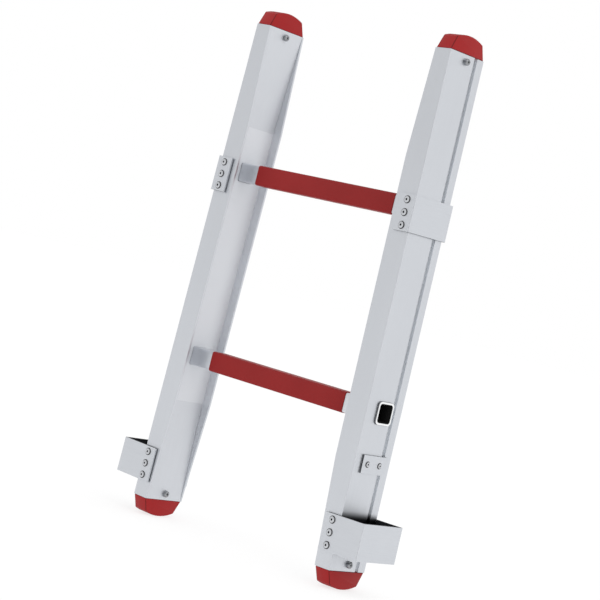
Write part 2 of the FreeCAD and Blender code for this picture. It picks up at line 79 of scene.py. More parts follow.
for side_name, side in SIDES.items():
    top = stile_frame(side) @ Vector((0, 0, STILE_LENGTH))
    low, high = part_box(f"stile_{side_name}")
    print(f"{side_name} stile: top at {top.z:.4f} m, CAD says {high.z:.4f} m")

# %% [markdown]
# ## Materials: a small kit of shader nodes
# Every finish here is procedural. Noise stretched along one direction makes the fine drawn
# lines of extruded metal. The same noise stretched less makes cloudy patches. One helper
# builds such a noise, and one puts a number range on it.

# %% Shader helpers
def new_material(name):
    """Make a node material and return it with its nodes, links and shader."""
    material = bpy.data.materials.new(name)
    material.use_nodes = True
    nodes = material.node_tree.nodes
    return material, nodes, material.node_tree.links, nodes["Principled BSDF"]


def streaks(nodes, links, scale, detail=3.0, turn=0.0):
    """Noise on object coordinates, stretched by a different scale on each axis."""
    place = nodes.new("ShaderNodeTexCoord")
    mapping = nodes.new("ShaderNodeMapping")
    mapping.inputs["Rotation"].default_value = (0, turn, 0)
    mapping.inputs["Scale"].default_value = scale
    noise = nodes.new("ShaderNodeTexNoise")
    noise.inputs["Scale"].default_value = 1.0
    noise.inputs["Detail"].default_value = detail
    links.new(place.outputs["Object"], mapping.inputs["Vector"])
    links.new(mapping.outputs["Vector"], noise.inputs["Vector"])
    return noise.outputs["Fac"]


def ranged(nodes, links, source, low, high):
    """Spread the middle of a noise over a range of numbers."""
    spread = nodes.new("ShaderNodeMapRange")
    spread.inputs["From Min"].default_value = 0.3
    spread.inputs["From Max"].default_value = 0.7
    spread.inputs["To Min"].default_value = low
    spread.inputs["To Max"].default_value = high
    links.new(source, spread.inputs["Value"])
    return spread.outputs["Result"]


def tinted(nodes, links, source, first, second):
    """Blend two colours by a noise."""
    mix = nodes.new("ShaderNodeMix")
    mix.data_type = "RGBA"
    mix.inputs["A"].default_value = (*first, 1)
    mix.inputs["B"].default_value = (*second, 1)
    links.new(ranged(nodes, links, source, 0, 1), mix.inputs["Factor"])
    return mix.outputs["Result"]


def bumped(nodes, links, shader, source, distance, strength=1.0):
    """Raise the surface by a noise, the distance given in metres."""
    bump = nodes.new("ShaderNodeBump")
    bump.inputs["Strength"].default_value = strength
    bump.inputs["Distance"].default_value = distance
    links.new(source, bump.inputs["Height"])
    links.new(bump.outputs["Normal"], shader.inputs["Normal"])


print("shader helpers: streaks, ranged, tinted, bumped")

# %% [markdown]
# ## Aluminium
# Extruded stiles leave the press with very fine lines along their length and a satin skin.
# Sheet parts show the same metal with the rolling lines across. These are metals, so their
# grey comes from the soft studio around them, and the lines show as a faint change of
# roughness and height. The rungs, the end ramps and the channel's floor mirror less of the
# room, so their metal is mixed with a plain matt grey.

# %% Satin aluminium
CLOUDS = (9, 9, 5)
LINE_STRENGTH = 0.6


def aluminium(name, tones, scale, rough, turn=0.0, relief=0.02 * MM, painted_shade_zone=None, metallic=1.0):
    """Satin aluminium: two close tones, drawn lines along the stretched axis of the scale."""
    material, nodes, links, shader = new_material(name)
    fine = streaks(nodes, links, scale, 4.0, turn)
    cloud = streaks(nodes, links, CLOUDS, 2.0)
    color = tinted(nodes, links, cloud, *tones)
    # Painted shade: a dark tone blended in between two heights behind the pocket's mouth.
    if painted_shade_zone:
        color = with_painted_shade(nodes, links, color, *painted_shade_zone)
    links.new(color, shader.inputs["Base Color"])
    links.new(ranged(nodes, links, fine, *rough), shader.inputs["Roughness"])
    shader.inputs["Metallic"].default_value = metallic
    bumped(nodes, links, shader, fine, relief, LINE_STRENGTH)
    return material


ALONG_STILE = (900, 900, 7)
ALONG_RUNG = (14, 900, 900)
ACROSS_SHEET = (40, 40, 900)
TURNED_GRAIN = (260, 260, 260)
SATIN = (0.36, 0.46)
ROLLED = (0.42, 0.54)

finishes = {
    "ramp": aluminium("end_ramp_sheet", ((0.630, 0.650, 0.685), (0.655, 0.675, 0.710)),
                      ALONG_STILE, ROLLED, metallic=0.7),
    "sheet": aluminium("bent_sheet", ((0.625, 0.645, 0.680), (0.645, 0.665, 0.700)),
                       ACROSS_SHEET, ROLLED),
    "rung": aluminium("drawn_rung_tube", ((0.64, 0.66, 0.695), (0.70, 0.72, 0.755)),
                      ALONG_RUNG, (0.30, 0.38), relief=0.008 * MM, metallic=0.85),
    "rivet": aluminium("rivet_aluminium", ((0.54, 0.555, 0.58), (0.61, 0.625, 0.65)),
                       TURNED_GRAIN, SATIN),
    # Painted shade: the flare's skirt is toned dark for the shade at its side.
    "skirt": aluminium("turned_skirt", ((0.20, 0.205, 0.215), (0.26, 0.265, 0.275)),
                       TURNED_GRAIN, SATIN),
    # Painted highlight: the flare's rolled lip is toned pale.
    "lip": aluminium("turned_lip", ((0.90, 0.91, 0.92), (0.94, 0.95, 0.96)),
                     TURNED_GRAIN, (0.25, 0.35)),
    # Painted shade: the dark tone on a sheet's edge stands for the thin shadow line along it.
    "cut_edge": aluminium("cut_edge", ((0.085, 0.088, 0.095), (0.12, 0.124, 0.132)),
                          (400, 400, 400), (0.5, 0.65)),
    # Painted shade: the near-black inside of the pocket stands for the shade in it.
    "painted_shade": aluminium("dull_pocket_inside", ((0.030, 0.032, 0.036), (0.045, 0.047, 0.052)),
                      (40, 40, 40), (0.65, 0.8)),
}
print("metal finishes:", ", ".join(finishes))

# %% [markdown]
# ### The stiles' own finishes
# The drawn lines follow each stile's lean, so each side has its own materials, with the noise
# turned to match. Behind the pocket's mouth, where little light gets in, the outer face and its
# groove get painted shade: two smooth steps on the height blend the metal with a dark tone there.

# %% Finishes for each side
# Painted shade behind the pocket's mouth: its dark colour, the blur of its lower edge, how far
# below the rim it stops, and its fade.
PAINTED_SHADE_COLOR = (0.02, 0.021, 0.024, 1)
PAINTED_SHADE_START = 0.5 * MM
PAINTED_SHADE_BELOW_RIM = 4 * MM
PAINTED_SHADE_FADE = 12 * MM
FLOOR_METALLIC = 0.2
STILE_TONES = ((0.620, 0.640, 0.675), (0.642, 0.662, 0.698))
# Painted light: the groove and the lips' inner sides are painted paler than the stile, lifting the
# shade in them.
PAINTED_LIGHT_TONES = ((0.76, 0.78, 0.81), (0.80, 0.82, 0.85))
FLOOR_TONES = ((0.670, 0.690, 0.725), (0.695, 0.715, 0.750))


def with_painted_shade(nodes, links, color, low, high):
    """Paint shade into a colour between two heights, fading out above the upper one."""
    place = nodes.new("ShaderNodeTexCoord")
    parts = nodes.new("ShaderNodeSeparateXYZ")
    links.new(place.outputs["Object"], parts.inputs["Vector"])
    unshaded = nodes.new("ShaderNodeMath")
    unshaded.operation = "MAXIMUM"
    spans = ((low - PAINTED_SHADE_START, low + PAINTED_SHADE_START, 1, 0), (high, high + PAINTED_SHADE_FADE, 0, 1))
    for span, operand in zip(spans, unshaded.inputs):
        share = nodes.new("ShaderNodeMapRange")
        share.interpolation_type = "SMOOTHSTEP"
        for label, number in zip(("From Min", "From Max", "To Min", "To Max"), span):
            share.inputs[label].default_value = number
        links.new(parts.outputs["Z"], share.inputs["Value"])
        links.new(share.outputs["Result"], operand)
    mix = nodes.new("ShaderNodeMix")
    mix.data_type = "RGBA"
    mix.inputs["A"].default_value = PAINTED_SHADE_COLOR
    links.new(unshaded.outputs[0], mix.inputs["Factor"])
    links.new(color, mix.inputs["B"])
    return mix.outputs["Result"]


for side_name, side in SIDES.items():
    low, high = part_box(f"pocket_bracket_{side_name}")
    # Heights of the painted shade on the outer face and the groove.
    painted_shade_heights = (low.z, high.z - PAINTED_SHADE_BELOW_RIM)
    for part, name, tones, more in (
            ("stile", "extruded_stile", STILE_TONES, {}),
            ("lip", "lip_inside", PAINTED_LIGHT_TONES, {}),
            ("floor", "channel_floor", FLOOR_TONES, {"metallic": FLOOR_METALLIC}),
            ("web", "stile_outer_face", STILE_TONES, {"painted_shade_zone": painted_shade_heights}),
            ("groove", "stile_groove", PAINTED_LIGHT_TONES, {"painted_shade_zone": painted_shade_heights})):
        finishes[f"{part}_{side_name}"] = aluminium(
            f"{name}_{side_name}", tones, ALONG_STILE, SATIN, -side * LEAN, **more)
    print(f"{side_name} outer face: dull from {painted_shade_heights[0]:.3f} to {painted_shade_heights[1]:.3f} m")

# %% [markdown]
# ## Steel, plastic and shade
# Screws are zinc plated steel, a little darker and bluer. A pulled rivet keeps the dark end
# of its steel mandrel, and the same dark steel is painted shade on rivet rims, hole walls and
# screw recesses. The grips and caps are moulded plastic with a fine grain, and a cap's edges
# are painted a deeper red, painted shade. Little light reaches the bore of an open rung, so it
# is painted almost black, painted shade.

# %% Steel, plastic and bore finishes
PLASTIC_SPECULAR = 0.20
CAP_GRAIN = (1500, 1500, 1500)


def plain_steel(name, tones, rough):
    """Steel with a cloudy plated skin."""
    material, nodes, links, shader = new_material(name)
    cloud = streaks(nodes, links, (420, 420, 420), 3.0)
    links.new(tinted(nodes, links, cloud, *tones), shader.inputs["Base Color"])
    links.new(ranged(nodes, links, cloud, *rough), shader.inputs["Roughness"])
    shader.inputs["Metallic"].default_value = 1.0
    return material


def moulded(name, tones, rough, grain, relief):
    """Moulded plastic: slow changes of tone and a fine raised grain."""
    material, nodes, links, shader = new_material(name)
    cloud = streaks(nodes, links, (14, 14, 14), 3.0)
    fine = streaks(nodes, links, grain, 2.0)
    links.new(tinted(nodes, links, cloud, *tones), shader.inputs["Base Color"])
    links.new(ranged(nodes, links, fine, *rough), shader.inputs["Roughness"])
    shader.inputs["Specular IOR Level"].default_value = PLASTIC_SPECULAR
    bumped(nodes, links, shader, fine, relief, 0.5)
    return material


for key, name, tones, rough in (
        ("screw", "zinc_screw", ((0.26, 0.27, 0.285), (0.36, 0.37, 0.385)), (0.25, 0.36)),
        # Dark steel: the mandrel's end, and painted shade on rivet rims, hole walls and screw
        # recesses.
        ("mandrel_and_shade", "steel_mandrel", ((0.05, 0.05, 0.052), (0.09, 0.09, 0.093)), (0.35, 0.5))):
    finishes[key] = plain_steel(name, tones, rough)
for key, name, tones, rough, grain, relief in (
        ("grip", "grip_plastic", ((0.245, 0.0060, 0.0060), (0.275, 0.0080, 0.0080)),
         (0.46, 0.58), (500, 1800, 1800), 0.04 * MM),
        ("cap", "cap_plastic", ((0.300, 0.0075, 0.0085), (0.335, 0.0095, 0.0105)),
         (0.30, 0.40), CAP_GRAIN, 0.03 * MM),
        # Painted shade: the deeper red of a cap's upright corners and foot edge.
        ("cap_edge", "cap_edge_plastic", ((0.115, 0.004, 0.004), (0.150, 0.005, 0.005)),
         (0.30, 0.40), CAP_GRAIN, 0.03 * MM),
        ("packer", "packer_plastic", ((0.030, 0.030, 0.032), (0.045, 0.045, 0.048)),
         (0.6, 0.75), (900, 900, 900), 0.03 * MM),
        ("bore", "dark_bore", ((0.004, 0.004, 0.004), (0.007, 0.007, 0.007)),
         (0.85, 0.95), (300, 300, 300), 0.01 * MM)):
    finishes[key] = moulded(name, tones, rough, grain, relief)
print("all finishes:", len(finishes))

# %% [markdown]
# ## From a mesh to a piece
# A finished piece keeps its object at the origin with its place in its mesh. It rides on the
# ladder's one body and hides the CAD nodes it replaces.
# Each face keeps the number of the material it was given while the piece was made. Faces are
# smooth except across edges sharper than a set angle.

# %% Piece helpers
SMOOTH_BELOW = math.radians(32)


def smooth(mesh):
    """Shade smooth and keep the sharp edges sharp."""
    mesh.polygons.foreach_set("use_smooth", [True] * len(mesh.polygons))
    mesh.set_sharp_from_angle(angle=SMOOTH_BELOW)
    return mesh


def place(mesh, name, materials, slot, nodes, matrix=None):
    """Put a mesh in the scene as a finished piece of the ladder."""
    if matrix is not None:
        mesh.transform(matrix)
    numbers = [face.material_index for face in mesh.polygons]
    mesh.materials.clear()
    for material in materials:
        mesh.materials.append(material)
    mesh.polygons.foreach_set("material_index", numbers)
    piece = bpy.data.objects.new(name, mesh)
    bpy.context.scene.collection.objects.link(piece)
    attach(piece, "root")
    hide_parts(*nodes)
    return piece


def settled(maker):
    """Apply a helper object's modifiers, remove the object and return its final mesh."""
    graph = bpy.context.evaluated_depsgraph_get()
    mesh = bpy.data.meshes.new_from_object(maker.evaluated_get(graph))
    bpy.data.objects.remove(maker)
    return mesh


def helper(name, mesh):
    """Put a mesh in the scene for as long as it is worked on."""
    maker = bpy.data.objects.new(name, mesh)
    bpy.context.scene.collection.objects.link(maker)
    return maker


def bevelled(maker, width, segments, degrees):
    """Round a helper object's edges that turn by more than an angle."""
    bevel = maker.modifiers.new("rounded_edge", "BEVEL")
    bevel.width = width
    bevel.segments = segments
    bevel.limit_method = "ANGLE"
    bevel.angle_limit = math.radians(degrees)


SAME_PLACE = 1e-7


def mesh_of(shape, name):
    """Turn a bmesh into a mesh with its faces pointing outwards."""
    bmesh.ops.remove_doubles(shape, verts=shape.verts, dist=SAME_PLACE)
    bmesh.ops.recalc_face_normals(shape, faces=shape.faces)
    mesh = bpy.data.meshes.new(name)
    shape.to_mesh(mesh)
    shape.free()
    return mesh


print("edges stay sharp above", round(math.degrees(SMOOTH_BELOW)), "degrees")

# %% [markdown]
# ## Stiles and sheet parts: broken edges
# No real edge is perfectly sharp: tumbling or a deburring wheel breaks it, and the thin
# bright line along it is what makes metal look real. The CAD shape is right, so a copy of it
# is merged, its flat areas are joined up again, and a narrow bevel rounds the edges.

# %% Copies with rounded edges
CAD_WELD = 0.002 * MM
FLAT_WITHIN = math.radians(0.3)
ROUND_ABOVE = 40


def with_broken_edges(node, width):
    """Copy a CAD node and round its sharp edges by a small width."""
    shape = bmesh.new()
    shape.from_mesh(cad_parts[node].data)
    bmesh.ops.remove_doubles(shape, verts=shape.verts, dist=CAD_WELD)
    bmesh.ops.dissolve_limit(shape, angle_limit=FLAT_WITHIN, verts=shape.verts,
                             edges=shape.edges, delimit={"NORMAL"})
    mesh = bpy.data.meshes.new(node + "_finished")
    shape.to_mesh(mesh)
    shape.free()
    mesh.polygons.foreach_set("use_smooth", [True] * len(mesh.polygons))
    maker = helper(node + "_bevel", mesh)
    bevelled(maker, width, 2, ROUND_ABOVE)
    even = maker.modifiers.new("flat_faces_stay_flat", "WEIGHTED_NORMAL")
    even.weight = 100
    return settled(maker)


print("edges turning more than", ROUND_ABOVE, "degrees are rounded")

# %% [markdown]
# ### Which finish a face takes
# One part can show several finishes. On a stile the groove and the lips' inner sides are painted
# paler, painted light; the outer face and the groove carry painted shade behind the pocket's
# mouth; and the channel's floor mirrors less of the room. A sheared edge of sheet metal is rough
# and painted dark, painted shade for the thin shadow line along it, and the pocket is painted
# dark inside, painted shade. A function for each kind of part reads a face's place and
# direction, and gives the number of its finish in the part's list.

# %% Finish choosers
FACING = 0.9
SLOPING = 0.3
POCKET_WALL = 3 * MM
GROOVE_ACROSS = (15.9 * MM, 23.3 * MM)
GROOVE_REACH = (0.3 * MM, 4.3 * MM)
WEB_REACH = 0.1 * MM
FLOOR_REACH = 20 * MM
FLOOR_PLAY = 0.5 * MM


def one_finish(face, side, low, high):
    """A part with the same finish all over."""
    return 0


def pocket_finish(face, side, low, high):
    """Painted shade on the faces that look at the stile and on the sheared upper edge."""
    outer = max(low.x * side, high.x * side)
    to_web = face.normal.x * side < -FACING and face.center.x * side > outer - 3 * POCKET_WALL
    to_middle = face.normal.y * face.center.y < 0 and abs(face.normal.y) > FACING
    if to_web or to_middle:
        return 1
    return 2 if face.normal.z > SLOPING else 0


def stile_finish(face, side, low, high):
    """The groove, the outer face, the lips' inner sides, the channel's floor, then the rest."""
    at = stile_frame(side).inverted() @ face.center
    reach = -side * at.x
    in_groove = GROOVE_ACROSS[0] < at.y < GROOVE_ACROSS[1]
    if in_groove and GROOVE_REACH[0] < reach < GROOVE_REACH[1]:
        return 1
    if reach < WEB_REACH and face.normal.x * side > FACING:
        return 2
    if reach > FLOOR_REACH and abs(face.normal.y) > FACING and face.normal.y * at.y < 0:
        return 3
    return 4 if abs(reach - FLOOR_REACH) < FLOOR_PLAY else 0


def strap_finish(face, side, low, high):
    """Painted shade on the strap's sheared lower edge."""
    return int(face.normal.z < -SLOPING)


def stop_finish(face, side, low, high):
    """Painted shade on the stop plate's front and upper edges."""
    return int(face.normal.y < -FACING or face.normal.z > SLOPING)


print("choosers for pockets, stiles, straps and stop plates")

# %% [markdown]
# ### The finished stiles and sheet parts
# Each kind of part has a row: the width of its broken edge in millimetres, its finishes, its
# slot and its chooser.

# %% Stiles, ramps, straps, pockets, packers and stop plates
STILE_FINISHES = ("stile_{}", "groove_{}", "web_{}", "lip_{}", "floor_{}")
EDGE_PIECES = {
    "stile": (0.35, STILE_FINISHES, "stile_aluminium", stile_finish),
    "end_ramp_upper": (0.2, ("ramp",), "ramp_aluminium", one_finish),
    "end_ramp_lower": (0.2, ("ramp",), "ramp_aluminium", one_finish),
    "guide_strap": (0.35, ("sheet", "cut_edge"), "bracket_aluminium", strap_finish),
    "pocket_bracket": (0.35, ("sheet", "painted_shade", "cut_edge"), "bracket_aluminium", pocket_finish),
    "guide_strap_packers": (0.1, ("packer",), "packer_plastic", one_finish),
    "pocket_bracket_packers": (0.1, ("packer",), "packer_plastic", one_finish),
    "stop_plate": (0.3, ("sheet", "cut_edge"), "stop_plate_aluminium", stop_finish),
}
for side_name, side in SIDES.items():
    for kind, (edge, worn, slot, choose) in EDGE_PIECES.items():
        node = f"{kind}_{side_name}"
        mesh = with_broken_edges(node, edge * MM)
        low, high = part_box(node)
        numbers = [choose(face, side, low, high) for face in mesh.polygons]
        mesh.polygons.foreach_set("material_index", numbers)
        place(mesh, node + "_finished", [finishes[name.format(side_name)] for name in worn],
              slot, [node])
        print(f"{node}: {len(numbers)} faces, finishes {sorted(set(numbers))}")

# %% [markdown]
# ## Rungs
# A rung is a drawn square tube. Outside the stile its lower end is flared: the wall turns out
# over the stile like a collar and rolls back into the mouth. A loft through rounded squares
# follows that turn exactly, which no stock shape does. The end stations lean with the stile.

# %% Lofted square tubes
CORNER_STEPS = 6


def rounded_square(side, radius):
    """Points (y, z) round a square with rounded corners, counter-clockwise."""
    points = []
    for quarter in range(4):
        start = quarter * math.pi / 2
        across = (side / 2 - radius) * (1 if quarter in (0, 3) else -1)
        up = (side / 2 - radius) * (1 if quarter in (0, 1) else -1)
        for step in range(CORNER_STEPS + 1):
            angle = start + step / CORNER_STEPS * math.pi / 2
            points.append((across + radius * math.cos(angle), up + radius * math.sin(angle)))
    return points


def loft(stations, closed, name):
    """Skin a list of stations (x, side, corner radius, lean), joined end to start if closed."""
    shape = bmesh.new()
    rings = []
    for x, side, radius, lean in stations:
        ring = [shape.verts.new((x - math.copysign(1, x) * z * math.tan(lean), y, z))
                for y, z in rounded_square(side, radius)]
        rings.append(ring)
    follow = rings[1:] + rings[:1] if closed else rings[1:]
    for ring, after in zip(rings, follow):
        for index in range(len(ring)):
            around = (index + 1) % len(ring)
            shape.faces.new((ring[index], ring[around], after[around], after[index]))
    return mesh_of(shape, name)


def mirrored(right):
    """Stations of the right end, then those of the left end on the way back."""
    return right + [(-x, side, radius, lean) for x, side, radius, lean in reversed(right)]


print("points round a tube:", 4 * (CORNER_STEPS + 1))

# %% [markdown]
# The flare's stations are given as distance outside the stile's face, side and corner
# radius, all in millimetres. They run up the outside, over the lip and down into the mouth.
# A band is the strip between two stations. The skirt, the lip and the bore have finishes of
# their own: painted shade on the skirt, a painted highlight on the lip and painted shade in the
# bore. So each row of bands gives a finish number and its first and last band.

# %% Rung tubes
FLARE = [(-30, 27.4, 2.6), (-0.4, 27.4, 2.6), (0.05, 27.8, 2.8), (0.12, 31.2, 5.2),
         (0.5, 32.2, 5.8), (1.2, 32.4, 6.0), (2.0, 32.2, 5.9), (2.5, 31.5, 5.6), (2.8, 30.1, 5.2),
         (2.9, 28.7, 4.8), (2.8, 27.4, 4.4), (2.5, 26.5, 4.2), (1.9, 26.0, 4.0),
         (0.8, 25.8, 3.9), (-1.5, 24.7, 2.6), (-4.0, 23.4, 1.2), (-12, 23.4, 1.2)]
PLAIN_END = [(-30, 27.4, 2.6), (-0.7, 27.4, 2.6), (-0.35, 27.0, 2.4), (-0.3, 26.6, 2.2),
             (-0.3, 24.0, 1.3), (-0.5, 23.5, 1.2), (-0.9, 23.4, 1.2), (-12, 23.4, 1.2)]
FLARE_BANDS = [(2, 3, 6), (3, 7, 10), (1, 11, len(FLARE) - 1)]
PLAIN_BANDS = [(1, 6, len(PLAIN_END) - 1)]
LEANS_BEYOND = -20
POINTS_PER_RING = 4 * (CORNER_STEPS + 1)


def rung_stations(end, z):
    """Stations right round a rung: out along the outside and back through the bore."""
    face = HALF_WIDTH - (z - FOOT_LIFT) * math.tan(LEAN)
    return mirrored([(face + out * MM, side * MM, radius * MM, LEAN if out > LEANS_BEYOND else 0)
                     for out, side, radius in end])


def finish_of(band, bands):
    """Finish number of a band, or 0 where no row of bands takes it in."""
    return next((number for number, first, last in bands if first <= band <= last), 0)


def right_band(band, stations):
    """The right end's band that a band of the tube is, or mirrors."""
    return band if band < stations else 2 * stations - 2 - band


for level, end, bands in (("lower", FLARE, FLARE_BANDS), ("upper", PLAIN_END, PLAIN_BANDS)):
    node = f"rung_{level}"
    low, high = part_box(f"rung_pad_{level}")
    middle = (low.z + high.z) / 2
    mesh = smooth(loft(rung_stations(end, middle), True, node + "_tube"))
    numbers = [finish_of(right_band(index // POINTS_PER_RING, len(end)), bands)
               for index in range(len(mesh.polygons))]
    mesh.polygons.foreach_set("material_index", numbers)
    place(mesh, node + "_tube", [finishes[name] for name in ("rung", "bore", "skirt", "lip")],
          "rung_aluminium", [node], Matrix.Translation((0, 0, middle)))
    print(f"{node}: {len(numbers)} faces, axis {middle:.4f} m above the ground")

# %% [markdown]
# ## Grips
# A grip is a red sleeve pushed over the rung. Its ends are turned in to the tube with a small
# radius, so the same loft makes it, with stations over the rounded end.

# %% Grip sleeves
GRIP_END = [(-40, 29.4, 3.6), (-1.2, 29.4, 3.6), (-0.5, 29.2, 3.55), (-0.12, 28.7, 3.4),
            (0, 28.3, 3.2), (0, 27.65, 2.7), (-0.3, 27.6, 2.7), (-40, 27.6, 2.7)]
for level in ("lower", "upper"):
    node = f"rung_pad_{level}"
    low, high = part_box(node)
    stations = mirrored([(high.x + out * MM, side * MM, radius * MM, 0)
                         for out, side, radius in GRIP_END])
    mesh = smooth(loft(stations, True, node + "_sleeve"))
    place(mesh, node + "_sleeve", [finishes["grip"]], "grip_plastic", [node],
          Matrix.Translation((0, 0, (low.z + high.z) / 2)))
    print(f"{node}: {(high.x - low.x) / MM:.0f} mm long")

# %% [markdown]
# ## End caps
# A cap is a moulded block: its ends slope in, and its top is a low arch with a tread of fine
# ribs across it. The block is an outline extruded along X and narrowed towards the inside,
# then bevelled. The ribs follow the arch by rule, so Geometry Nodes lay them out.

# %% The cap's body
CROWN_RADIUS = 71.6 * MM
CROWN_TOP = CAP_HEIGHT - 0.35 * MM
CAP_BASE_HALF = 36.2 * MM
CAP_TIP_HALF = 25.5 * MM
CAP_OUTER = 0.5 * MM
CAP_BASE_REACH = 26.2 * MM
CAP_EDGE = 1.1 * MM
CROWN_STEPS = 28
HALVINGS = 40


def crown_height(y):
    """Height of the arched top at a distance from the middle of the depth."""
    return CROWN_TOP - CROWN_RADIUS + math.sqrt(CROWN_RADIUS ** 2 - y ** 2)


def cap_half_at(z):
    """Half the cap's depth at a height on its sloping ends."""
    return CAP_BASE_HALF + (CAP_TIP_HALF - CAP_BASE_HALF) * z / CAP_HEIGHT


def shoulder():
    """Where the sloping end meets the arch, found by halving."""
    low, high = 0.0, CAP_HEIGHT
    for _ in range(HALVINGS):
        z = (low + high) / 2
        low, high = (z, high) if crown_height(cap_half_at(z)) > z else (low, z)
    return cap_half_at(low), low


def cap_body(inward):
    """The cap above the stile's end, standing on Z = 0."""
    half, level = shoulder()
    outline = [(-CAP_BASE_HALF, 0), (CAP_BASE_HALF, 0), (half, level)]
    for step in range(1, CROWN_STEPS):
        y = half - 2 * half * step / CROWN_STEPS
        outline.append((y, crown_height(y)))
    outline.append((-half, level))
    shape = bmesh.new()
    ends = []
    for base, tip in ((CAP_OUTER, CAP_OUTER), (CAP_BASE_REACH, CAP_TIP_REACH)):
        ring = [shape.verts.new((inward * (base + (tip - base) * z / CAP_HEIGHT), y, z))
                for y, z in outline]
        ends.append(ring)
        shape.faces.new(ring)
    for index in range(len(outline)):
        around = (index + 1) % len(outline)
        shape.faces.new((ends[0][index], ends[0][around], ends[1][around], ends[1][index]))
    maker = helper("cap_body", mesh_of(shape, "cap_body"))
    bevelled(maker, CAP_EDGE, 4, 20)
    return settled(maker)


half, level = shoulder()
print(f"cap: shoulder {half / MM:.1f} mm from the middle, {level / MM:.1f} mm up")

# %% [markdown]
# ### Small helpers for geometry trees
# Both trees of this lesson are built in the same way: named inputs first, then a few steps of
# arithmetic, and at the end real geometry with its material, so that nothing is left as an
# instance.

# %% Tree helpers
def tree_with_inputs(name, numbers):
    """Start a geometry tree with named inputs; return it and its group input node."""
    tree = bpy.data.node_groups.new(name, "GeometryNodeTree")
    tree.interface.new_socket("Geometry", in_out="INPUT", socket_type="NodeSocketGeometry")
    for label, kind in numbers.items():
        tree.interface.new_socket(label, in_out="INPUT", socket_type=kind)
    tree.interface.new_socket("Geometry", in_out="OUTPUT", socket_type="NodeSocketGeometry")
    return tree, tree.nodes.new("NodeGroupInput")


def feed(tree, operand, socket):
    """Link a socket to another, or set a number on it."""
    if isinstance(operand, (int, float)):
        socket.default_value = operand
    else:
        tree.links.new(operand, socket)


def math_node(tree, operation, *operands):
    """One arithmetic step; each operand is a socket or a number."""
    node = tree.nodes.new("ShaderNodeMath")
    node.operation = operation
    for operand, socket in zip(operands, node.inputs):
        feed(tree, operand, socket)
    return node.outputs[0]


def combined(tree, *operands):
    """A vector from three sockets or numbers."""
    node = tree.nodes.new("ShaderNodeCombineXYZ")
    for operand, socket in zip(operands, node.inputs):
        feed(tree, operand, socket)
    return node.outputs[0]


def end_tree(tree, geometry, finish, selection=None):
    """Realize the copies and set the finish, on all their faces or on the selected ones."""
    real = tree.nodes.new("GeometryNodeRealizeInstances")
    paint = tree.nodes.new("GeometryNodeSetMaterial")
    out = tree.nodes.new("NodeGroupOutput")
    tree.links.new(geometry, real.inputs[0])
    tree.links.new(real.outputs[0], paint.inputs["Geometry"])
    if selection is not None:
        tree.links.new(selection, paint.inputs["Selection"])
    tree.links.new(finish, paint.inputs["Material"])
    tree.links.new(paint.outputs[0], out.inputs[0])


print("tree helpers: inputs, arithmetic, vectors, ends")

# %% [markdown]
# The rib tree starts from a row of points. Each point's index gives its angle on the arch,
# the angle gives its place, and a small half-sunk rod becomes the rib.

# %% Geometry Nodes: ribs along the arch
ROD_SIDES = 12


def make_rib_tree():
    """Rods laid across an arch at equal angles."""
    tree, given = tree_with_inputs("crown_ribs", {
        "Ribs": "NodeSocketInt", "Arc Angle": "NodeSocketFloat", "Crown Radius": "NodeSocketFloat",
        "Crown Centre": "NodeSocketFloat", "Middle": "NodeSocketFloat",
        "Rib Length": "NodeSocketFloat", "Rib Radius": "NodeSocketFloat",
        "Finish": "NodeSocketMaterial"})
    row = tree.nodes.new("GeometryNodeMeshLine")
    tree.links.new(given.outputs["Ribs"], row.inputs["Count"])
    index = tree.nodes.new("GeometryNodeInputIndex").outputs[0]
    last = math_node(tree, "SUBTRACT", given.outputs["Ribs"], 1.0)
    share = math_node(tree, "SUBTRACT", math_node(tree, "DIVIDE", index, last), 0.5)
    angle = math_node(tree, "MULTIPLY", share, given.outputs["Arc Angle"])
    radius = given.outputs["Crown Radius"]
    y = math_node(tree, "MULTIPLY", math_node(tree, "SINE", angle), radius)
    above_centre = math_node(tree, "MULTIPLY", math_node(tree, "COSINE", angle), radius)
    z = math_node(tree, "ADD", above_centre, given.outputs["Crown Centre"])
    move = tree.nodes.new("GeometryNodeSetPosition")
    tree.links.new(row.outputs[0], move.inputs["Geometry"])
    tree.links.new(combined(tree, given.outputs["Middle"], y, z), move.inputs["Position"])
    rod = tree.nodes.new("GeometryNodeMeshCylinder")
    rod.inputs["Vertices"].default_value = ROD_SIDES
    tree.links.new(given.outputs["Rib Radius"], rod.inputs["Radius"])
    tree.links.new(given.outputs["Rib Length"], rod.inputs["Depth"])
    copies = tree.nodes.new("GeometryNodeInstanceOnPoints")
    tree.links.new(move.outputs[0], copies.inputs["Points"])
    tree.links.new(rod.outputs["Mesh"], copies.inputs["Instance"])
    copies.inputs["Rotation"].default_value = (0, math.pi / 2, 0)
    end_tree(tree, copies.outputs[0], given.outputs["Finish"])
    return tree


rib_tree = make_rib_tree()
print("rib tree nodes:", len(rib_tree.nodes))

# %% [markdown]
# A tree's inputs are set on its modifier by the socket's identifier. The result is taken as a
# plain mesh before anything else happens to it.

# %% Running a tree
def grow(tree, **sizes):
    """Run a geometry tree on an empty mesh with the given named inputs, and take its mesh."""
    maker = helper(tree.name + "_maker", bpy.data.meshes.new(tree.name))
    modifier = maker.modifiers.new(tree.name, "NODES")
    modifier.node_group = tree
    for socket in tree.interface.items_tree:
        key = socket.name.lower().replace(" ", "_")
        if socket.in_out == "INPUT" and key in sizes:
            modifier[socket.identifier] = sizes[key]
    return settled(maker)


def joined(meshes, name):
    """Join meshes into one, keeping each one's place."""
    shape = bmesh.new()
    for mesh in meshes:
        shape.from_mesh(mesh)
    whole = bpy.data.meshes.new(name)
    shape.to_mesh(whole)
    shape.free()
    return whole


print("a tree's result is taken by grow() and put together by joined()")

